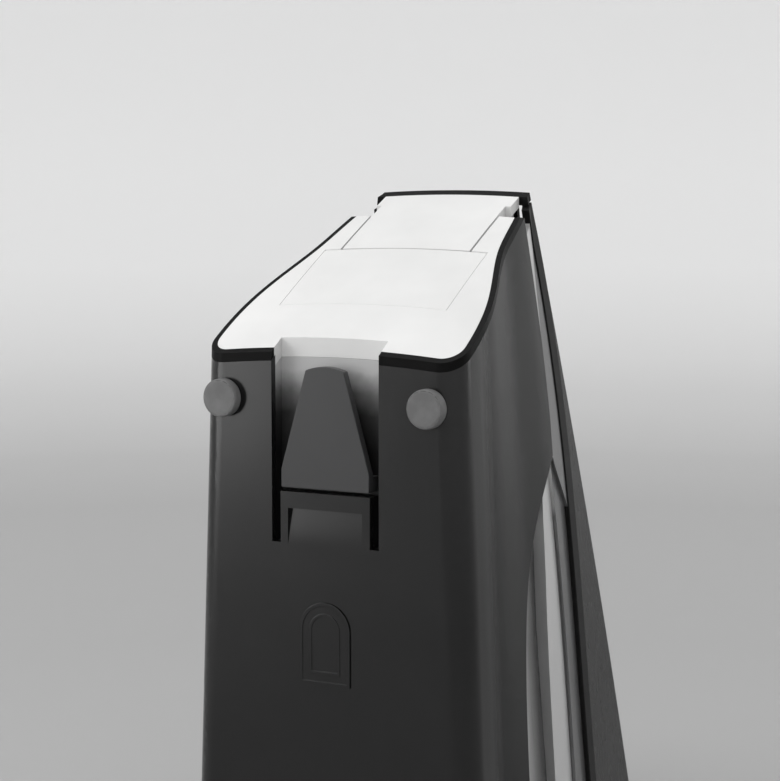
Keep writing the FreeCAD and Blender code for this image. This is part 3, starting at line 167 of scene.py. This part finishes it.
sweep_mesh = bmesh.new()
sweep_line = [(0.0, 0.0), (0.5, 0.0), (1.0, 0.0)]
for step in range(1, 13):
    turn = math.radians(7.5 * step)
    sweep_line.append((1.0 + 0.9 * math.sin(turn), 0.9 * (1 - math.cos(turn))))
sweep_line.append((1.9, 1.6))
sweep_rings = []
for out, up in sweep_line:
    if out == 0:
        sweep_rings.append([sweep_mesh.verts.new((0, 0, up))] * 96)
    else:
        sweep_rings.append([sweep_mesh.verts.new((out * math.cos(math.tau * n / 96),
                                                  out * math.sin(math.tau * n / 96), up))
                            for n in range(96)])
for inner, outer in zip(sweep_rings, sweep_rings[1:]):
    for n in range(96):
        corners = [inner[n - 1], outer[n - 1], outer[n], inner[n]]
        sweep_mesh.faces.new(list(dict.fromkeys(corners))).smooth = True
sweep_data = bpy.data.meshes.new("studio_sweep")
sweep_mesh.to_mesh(sweep_data)
sweep_mesh.free()
sweep = bpy.data.objects.new("studio_sweep", sweep_data)
sweep_data.materials.append(card.material)
bpy.context.scene.collection.objects.link(sweep)


def soft_box(name, place, target, width, height, power):
    """A rectangular soft light that looks at a point."""
    panel = bpy.data.lights.new(name, "AREA")
    panel.shape = "RECTANGLE"
    panel.size = width
    panel.size_y = height
    panel.energy = power
    lamp = bpy.data.objects.new(name, panel)
    lamp.location = place
    lamp.rotation_euler = (Vector(target) - Vector(place)).to_track_quat("-Z", "Y").to_euler()
    bpy.context.scene.collection.objects.link(lamp)


soft_box("overhead soft box", (0.1, 0.1, 1.5), (0, 0, 0.1), 1.2, 1.2, 10)
soft_box("left soft box", (-1.0, -0.8, 0.55), (0, 0, 0.15), 0.5, 0.9, 2)
soft_box("rear soft box", (0.68, 0.69, 0.3), (0, 0.07, 0.2), 0.56, 0.56, 3.1)

world = bpy.data.worlds.new("studio")
bpy.context.scene.world = world
world.use_nodes = True
world.node_tree.nodes["Background"].inputs[0].default_value = (1, 1, 1, 1)
world.node_tree.nodes["Background"].inputs[1].default_value = 0.55

lens = bpy.data.cameras.new("camera")
lens.sensor_fit = "HORIZONTAL"
lens.sensor_width = 36
lens.lens = 92.3
lens.clip_start = 0.01
camera = bpy.data.objects.new("camera", lens)
camera.location = (-0.3054, rear_face + 0.5496, rear_edge + 0.0523)
camera.rotation_euler = Vector((0.4553, -0.8845, -0.1019)).to_track_quat("-Z", "Y").to_euler()
bpy.context.scene.collection.objects.link(camera)
bpy.context.scene.camera = camera
bpy.context.scene.view_settings.view_transform = "Standard"


# ---- Rear housing: the tall black moulding that holds the works.
# One thin-walled injection moulding in black ABS, with a polished finish that shows faint
# flow marks and hairline scratches. The rear bumpers and the cord gland snap into it.
def softened(name, node, body, finish, width, turn=28.0, steps=2):
    """The CAD piece's own shape with its hard edges rounded, shown instead of it."""
    mesh = bmesh.new()
    mesh.from_mesh(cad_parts[node].data)
    bmesh.ops.remove_doubles(mesh, verts=mesh.verts, dist=2e-6)
    bmesh.ops.dissolve_limit(mesh, angle_limit=math.radians(0.3), verts=mesh.verts,
                             edges=mesh.edges, use_dissolve_boundaries=False)
    hard = [edge for edge in mesh.edges
            if len(edge.link_faces) == 2 and edge.calc_face_angle() > math.radians(turn)]
    bmesh.ops.bevel(mesh, geom=hard, offset=width, segments=steps, profile=0.6,
                    affect="EDGES", clamp_overlap=True, miter_outer="ARC", loop_slide=True)
    for face in mesh.faces:
        face.smooth = True
    data = bpy.data.meshes.new(name)
    mesh.to_mesh(data)
    mesh.free()
    piece = bpy.data.objects.new(name, data)
    bpy.context.scene.collection.objects.link(piece)
    level = piece.modifiers.new("even shading", "WEIGHTED_NORMAL")
    level.keep_sharp = True
    data.materials.append(finish.material)
    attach(piece, body)
    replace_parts(piece, node)
    return piece


def moulded(name, colour, roughness, worn=0.05, peel=0.0012, dip=2e-6, gloss=0.3):
    """Glossy moulded plastic: slow colour drift, orange peel, hairline scratches."""
    plastic = Finish(name, specular_ior_level=gloss, ior=1.5)
    drift = plastic.grain(0.03, 3)
    hair = plastic.ramp(plastic.grain(0.0007, 1, (1, 1, 0.06)), (0.60, 0.0), (0.72, 1.0))
    lighter = tuple(min(1.0, channel * 1.25 + 0.003) for channel in colour)
    plastic.feed(base_color=plastic.tint(drift, colour, lighter),
                 roughness=drift * 0.05 + hair * worn + (roughness - 0.025),
                 normal=plastic.dent(plastic.grain(peel, 2), dip, 0.6))
    return plastic


black_abs = moulded("polished black ABS", (0.006, 0.006, 0.006), 0.2, gloss=0.42)
housing_y = black_abs.node("SeparateXYZ", {}, {0: black_abs.place}, "Y")
side_share = black_abs.ramp((rear_face - housing_y) * 40, (0.62, 0.0), (0.98, 1.0))
side_satin = black_abs.node("BsdfPrincipled", {}, {
    "Base Color": (0.006, 0.006, 0.006, 1), "Roughness": 0.34, "Specular IOR Level": 0.14,
    "Normal": black_abs.dent(black_abs.grain(0.0009, 2), 2e-6, 0.6)})
black_abs.coat(side_share, side_satin)
softened("housing_shell", "rear_housing", "casing", black_abs, 0.0006)


# ---- Pocket liner: the floor and side walls of the crown-cap opener's pocket.
# A light grey ABS moulding with a satin finish, pressed in from inside the housing. Its colour
# is painted pale near the mouth and dark lower down, as painted shade deepening into the pocket.
liner_grey = moulded("satin grey liner", (0.42, 0.42, 0.42), 0.42, 0.04)
liner_height = liner_grey.node("SeparateXYZ", {}, {0: liner_grey.place}, "Z")
# Painted shade: pale near the mouth, darker lower down in the pocket.
liner_painted_shade = liner_grey.ramp((liner_height - rear_edge) * 20 + liner_grey.grain(0.004) * 0.06 + 1.0,
                              (0.40, 0.012), (0.62, 0.03), (0.76, 0.14), (0.90, 0.50))
liner_grey.feed(base_color=liner_painted_shade)
softened("pocket_liner", "opener_pocket", "casing", liner_grey, 0.0003)


# ---- Hook plate: the tapered plate that catches the cap's rim.
# Pressed steel in dark grey enamel, worn in hairlines, on a root that joins the pocket's floor.
hook_paint = moulded("dark grey hook enamel", (0.045, 0.045, 0.046), 0.36, 0.08)
softened("hook_plate", "cap_hook", "casing", hook_paint, 0.0003)


# ---- Rear badge: a small arch-topped plate low on the rear face.
# Moulded in black with a raised rim, glued in a shallow seat. It carries no mark.
softened("badge_plate", "rear_badge", "casing", black_abs, 0.00015)


# ---- Trim rim: the thin black frame round the crowned top.
# A dull black ABS moulding, clipped down between the housing's edge and the cover.
trim_black = moulded("black trim ABS", (0.004, 0.004, 0.004), 0.42, gloss=0.05)
softened("trim_rim", "top_trim", "casing", trim_black, 0.0004)


# ---- White cover: the crowned top with an ear on each side of the lever.
# One satin white ABS moulding; its lip turns down round the pocket and its ears hold the pin.
cover_white = moulded("satin white ABS", (0.66, 0.66, 0.655), 0.42, 0.03, 0.0006, 1.5e-6)
softened("white_cover", "top_cover", "casing", cover_white, 0.00035)


# ---- Label: a blank plate let into the cover behind the lever.
# Thin white polyester film on a moulded seat, with a hairline gap round it. It carries no text.
label_white = moulded("blank label film", (0.655, 0.655, 0.65), 0.42, 0.03)
softened("label_sheet", "label_plate", "casing", label_white, 0.00015)


# ---- Front shell: silver side mouldings stepped in beads beside the black band.
# ABS moulded in two sides, sprayed in silver lacquer with fine metal flake under a clear coat.
# The flat strip in front of the beads is painted a darker grey, as painted shade standing in for its
# dark reflection.
def lacquered(name, colour, roughness, flake=0.00035):
    """Silver lacquer: metal flake of two sizes under a clear coat."""
    paint = Finish(name, coat_roughness=0.12, coat_weight=0.35, ior=1.45)
    glint = paint.ramp(paint.grain(flake, 1), (0.35, 0.0), (0.68, 1.0))
    cloud = paint.grain(0.018, 3)
    darker = tuple(channel * 0.86 for channel in colour)
    paint.feed(base_color=paint.tint(glint * 0.6 + cloud * 0.4, darker, colour),
               metallic=glint * 0.2 + 0.55, roughness=cloud * 0.06 + glint * 0.06 + roughness,
               normal=paint.dent(paint.grain(flake * 2, 1), 1.5e-6, 0.5))
    return paint


silver = lacquered("silver lacquer", (0.62, 0.62, 0.62), 0.28)
shell_y = silver.node("SeparateXYZ", {}, {0: silver.place}, "Y")
shell_z = silver.node("SeparateXYZ", {}, {0: silver.place}, "Z")
seam_y = (shell_z.least(0.129) * -0.0617) + (rear_face - 0.0838)
# Painted shade: the flat strip in front of the beads is coloured dark grey in place of its dark
# reflection.
strip_painted_shade = silver.ramp((seam_y - shell_y) * 2500 + 0.5, (0.0, 0.0), (1.0, 1.0))
silver.feed(base_color=silver.tint(strip_painted_shade, (0.62, 0.62, 0.62), (0.17, 0.17, 0.172)))
softened("silver_shell", "front_shell", "casing", silver, 0.0009, steps=4)


# ---- Side bands: the black strips between the silver sides and the fascia.
# Moulded in matt black rubber and pressed into the seam, standing slightly proud of it.
band_black = moulded("matt black band rubber", (0.009, 0.009, 0.009), 0.38, gloss=0.1)
softened("band_pair", "side_bands", "casing", band_black, 0.0004)


# ---- Recess sides: the dark coves between the housing's curved edge and the silver beads.
# Each is one smooth moulded sheet: it leaves the housing's edge almost flush, falls away
# inward as it runs forward, and ends under the rear bead's turned lip. Its colour is painted
# shade, pale grey at the housing's edge and near black deeper in the cove.
def eased(points, at):
    """Smooth curve through (place, value) points, read at one place."""
    if at <= points[0][0]:
        return points[0][1]
    for n in range(len(points) - 1):
        (x0, y0), (x1, y1) = points[n], points[n + 1]
        if at <= x1 or n == len(points) - 2:
            before = points[n - 1] if n else points[n]
            after = points[n + 2] if n + 2 < len(points) else points[n + 1]
            gap = x1 - x0
            lean0 = (y1 - before[1]) / (x1 - before[0]) * gap
            lean1 = (after[1] - y0) / (after[0] - x0) * gap
            t = min((at - x0) / gap, 1.0)
            return ((2 * t**3 - 3 * t**2 + 1) * y0 + (t**3 - 2 * t**2 + t) * lean0
                    + (3 * t**2 - 2 * t**3) * y1 + (t**3 - t**2) * lean1)


def casing_half(depth, height):
    """Half the casing's width, at a depth from the rear face and a height, in millimetres."""
    if depth <= 14:
        top = 44.3
    elif depth <= 70:
        top = 31.6 + 12.7 * (1 + math.cos(math.pi * (depth - 14) / 56)) / 2
    else:
        top = 31.6 - 4.0 * min((depth - 70) / 23.2, 1)
    foot = 53.4 + 3.1 * min(depth / 93.2, 1)
    return foot + (top - foot) * height / 246


housing_edge = [(41.2, 91.0), (57.5, 71.7), (75.8, 58.0), (99.3, 49.4), (186.5, 42.0)]
bead_edge = [(41.2, 91.3), (50.5, 84.0), (68.0, 80.5), (97.0, 76.5), (186.5, 69.0)]


def cove_inset(depth, edge):
    """How far the cove stands in from the casing's outline."""
    if depth < 58:
        return 0.35 + 2.8 * min(max((depth - edge) / (58 - edge), 0), 1) ** 1.2
    return 3.15 + 3.4 * min((depth - 58) / 18, 1)


def cove(side):
    """One recess side as a grid of rows up its height."""
    mesh = bmesh.new()
    rows = []
    for row in range(49):
        height = 5.8 + (147.6 - 5.8) * row / 48
        drop = 189 - height
        edge, end = eased(housing_edge, drop) - 1.0, eased(bead_edge, drop) + 1.0
        line = []
        for column in range(25):
            depth = edge + (end - edge) * column / 24
            out = casing_half(depth, height) - cove_inset(depth, edge + 1.0)
            line.append(mesh.verts.new((side * out / 1000, rear_face - depth / 1000, height / 1000)))
        rows.append(line)
    for lower, upper in zip(rows, rows[1:]):
        for n in range(24):
            corners = [lower[n], lower[n + 1], upper[n + 1], upper[n]]
            mesh.faces.new(corners if side < 0 else corners[::-1]).smooth = True
    data = bpy.data.meshes.new("cove")
    mesh.to_mesh(data)
    mesh.free()
    piece = bpy.data.objects.new("recess_side_%s" % ("left" if side > 0 else "right"), data)
    bpy.context.scene.collection.objects.link(piece)
    sheet = piece.modifiers.new("sheet thickness", "SOLIDIFY")
    sheet.thickness = 0.0012
    sheet.offset = -1
    data.materials.append(recess_painted_shade_lacquer.material)
    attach(piece, "casing")
    return piece


recess_painted_shade_lacquer = lacquered("recess lacquer with painted shade", (0.14, 0.14, 0.14), 0.38)
cove_y = recess_painted_shade_lacquer.node("SeparateXYZ", {}, {0: recess_painted_shade_lacquer.place}, "Y")
cove_z = recess_painted_shade_lacquer.node("SeparateXYZ", {}, {0: recess_painted_shade_lacquer.place}, "Z")
cove_edge = cove_z * 0.085 + 0.0418
cove_edge = cove_edge.most(cove_z * 0.366 + 0.0166)
cove_edge = cove_edge.most(cove_z * 0.95 - 0.0497)
# Painted shade: the colour runs from pale grey at the housing's edge to near black deeper in the
# cove.
cove_painted_shade = (rear_face - cove_y - cove_edge) * 36
recess_painted_shade_lacquer.feed(base_color=recess_painted_shade_lacquer.ramp(
    cove_painted_shade + recess_painted_shade_lacquer.grain(0.01) * 0.03, (0.0, 0.40), (0.30, 0.30), (0.52, 0.15),
    (0.75, 0.05), (1.0, 0.018)))
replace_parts(cove(-1), "recess_panels")
cove(1)


# ---- Fascia: the tapered front cover that the wheels stand out of.
# A large satin black ABS moulding, clipped to the side bands and screwed from underneath.
fascia_black = moulded("satin black fascia", (0.016, 0.016, 0.016), 0.26)
softened("fascia_front", "front_fascia", "casing", fascia_black, 0.0006)


# ---- Base plate: the black tray that closes the casing from underneath.
# A plain ABS moulding with a matt, spark-eroded surface, held by four screws.
softened("base_tray", "base_plate", "casing",
         moulded("matt black base ABS", (0.018, 0.018, 0.018), 0.45), 0.0004)


# ---- Feet: four rubber pads under the base plate.
# Moulded nitrile rubber with a dull, pimpled and slightly dusty skin, pushed into holes.
def rubbery(name, colour, roughness=0.68):
    """Matt moulded rubber: pimpled skin with dust in patches."""
    rubber = Finish(name, specular_ior_level=0.35)
    dust = rubber.ramp(rubber.grain(0.006, 4), (0.42, 0.0), (0.74, 1.0))
    lighter = tuple(channel * 1.3 + 0.01 for channel in colour)
    rubber.feed(base_color=rubber.tint(dust, colour, lighter), roughness=dust * 0.12 + roughness,
                normal=rubber.dent(rubber.grain(0.00035, 2), 1.2e-5, 0.5))
    return rubber


foot_rubber = rubbery("black foot rubber", (0.02, 0.02, 0.02))
softened("rubber_feet", "base_feet", "casing", foot_rubber, 0.0005)


# ---- Rear bumpers: two round buffers high on the rear face.
# Grey moulded rubber with a domed edge, pushed into holes in the housing.
bumper_rubber = rubbery("grey bumper rubber", (0.145, 0.145, 0.145))
softened("rubber_bumpers", "rear_bumpers", "casing", bumper_rubber, 0.0009)


# ---- Cord gland: the sleeve low on the rear face that a cord would pass through.
# Black rubber, moulded in one piece and snapped into the housing.
softened("gland_sleeve", "cord_gland", "casing", foot_rubber, 0.0003)


# ---- Base screws: four pan-head screws through the base plate.
# Zinc plated steel, with the faint turned and brushed lines of cold heading.
def steely(name, colour, roughness, brush=(1, 1, 0.05), line=0.0005):
    """Bare metal: brushed lines one way, with stains that dull it in patches."""
    metal = Finish(name, metallic=1.0)
    brushed = metal.grain(line, 2, brush)
    stain = metal.ramp(metal.grain(0.009, 4), (0.45, 0.0), (0.75, 1.0))
    darker = tuple(channel * 0.72 for channel in colour)
    metal.feed(base_color=metal.tint(stain * 0.5 + brushed * 0.3, colour, darker),
               roughness=brushed * 0.14 + stain * 0.12 + roughness,
               normal=metal.dent(brushed, 4e-6, 0.5))
    return metal


plated_steel = steely("zinc plated steel", (0.58, 0.58, 0.60), 0.3)
softened("screw_set", "base_screws", "casing", plated_steel, 0.0002)


# ---- Lever arm: the white bar that is lifted by hand.
# Moulded in the cover's white ABS, hollow underneath, turning on a pin under the cover.
softened("lever_top", "lever_arm", "lever", cover_white, 0.0004)


# ---- Lever front: the black-edged plate on the arm's end that carries the cutter.
# A black ABS moulding with a rolled edge, screwed to the arm from below.
softened("lever_plate", "lever_front", "lever", trim_black, 0.0008, steps=3)


# ---- Pins and axles: the turned bars that the lever, magnet arm and cutter move on.
# Ground steel bar, parted off on a lathe; the turning lines run round them.
def faced(finish, *nodes):
    """Give the pieces that keep their CAD shape a finish."""
    for node in nodes:
        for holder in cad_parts[node].material_slots:
            holder.material = finish.material


turned_steel = steely("turned steel", (0.60, 0.60, 0.61), 0.22, (1, 0.05, 1))
faced(turned_steel, "lever_pivot_pin", "magnet_pivot_pin", "cutter_axle", "cutter_cap")


# ---- Cutting parts: the cutter wheel and the drive wheel.
# Hardened and ground tool steel, each riveted or keyed on its own axle. The two rim guides
# beside them are plated steel studs.
cutter_steel = steely("hardened cutter steel", (0.66, 0.66, 0.67), 0.18, (0.6, 1, 0.6))
faced(cutter_steel, "cutter_wheel", "drive_wheel")
faced(plated_steel, "rim_guides")


# ---- Magnet arm: the bent strip that lifts the lid, with its cup and magnet.
# Pressed from plated steel; the ferrite disc is ground flat and glued in the cup.
ferrite = steely("ground ferrite", (0.10, 0.10, 0.105), 0.45)
faced(plated_steel, "magnet_arm", "magnet_cup")
faced(ferrite, "lid_magnet")


# ---- Gear train: three gears and pinions between the motor and the drive wheel.
# Injection-moulded natural acetal on turned shafts, which turn in plated plates.
gear_acetal = moulded("natural acetal", (0.62, 0.61, 0.56), 0.4, 0.05)
faced(gear_acetal, "output_gear", "second_gear", "second_pinion", "first_gear", "first_pinion")
faced(turned_steel, "drive_shaft", "second_shaft", "first_shaft", "plate_pillars")
faced(plated_steel, "rear_gear_plate", "front_gear_plate")


# ---- Bushings and pinion: the sintered pieces that run against steel.
# Oil-soaked bronze, pressed from powder, a little porous and dark at the edges.
bronze = steely("oiled sintered bronze", (0.52, 0.34, 0.13), 0.36)
faced(bronze, "drive_bushing", "motor_pinion", "motor_bearings")


# ---- Motor core: the stator and the rotor's stack of stamped sheets.
# Thin iron laminations riveted together; their edges show as close bands.
lamination = Finish("laminated core iron", metallic=1.0)
lamina = lamination.node("TexWave", {"wave_type": "BANDS", "bands_direction": "Y"},
                         {"Vector": lamination.place, "Scale": 320.0, "Distortion": 0.3}, "Fac")
lamination.feed(base_color=lamination.tint(lamina, (0.16, 0.16, 0.17), (0.33, 0.32, 0.31)),
                roughness=lamina * 0.2 + 0.35, normal=lamination.dent(lamina, 5e-5, 0.6))
faced(lamination, "motor_rotor", "motor_stator")


# ---- Motor coils: the windings round the stator's legs.
# Enamelled copper wire wound in even turns round the motor's shaft line.
shaft_low, shaft_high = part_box("motor_shaft")
winding = Finish("enamelled copper winding", metallic=0.9)
coil_place = winding.node("Mapping", {}, {
    "Vector": winding.place, "Location": (0, 0, -(shaft_low.z + shaft_high.z) / 2)})
turns = winding.node("TexWave", {"wave_type": "RINGS", "rings_direction": "Y"},
                     {"Vector": coil_place, "Scale": 400.0, "Distortion": 0.4}, "Fac")
winding.feed(base_color=winding.tint(turns, (0.20, 0.06, 0.02), (0.60, 0.22, 0.07)),
             roughness=turns * 0.15 + 0.3, normal=winding.dent(turns, 8e-5, 0.7))
faced(winding, "motor_coils")


# ---- Motor frame: the shaft, its bracket and the studs that hold the stack.
# Turned steel bar and plated steel pressings, fixed with nuts.
faced(turned_steel, "motor_shaft")
faced(plated_steel, "motor_bracket", "motor_studs")


# ---- Fan and switch: the cooling fan on the shaft and the switch under the lever.
# Black phenolic mouldings on a plated shelf; the switch's plunger is red.
switch_plastic = moulded("black switch phenolic", (0.022, 0.020, 0.020), 0.42)
button_plastic = moulded("red switch button", (0.35, 0.02, 0.02), 0.35)
faced(switch_plastic, "cooling_fan", "micro_switch")
faced(button_plastic, "switch_button")
faced(plated_steel, "switch_shelf")
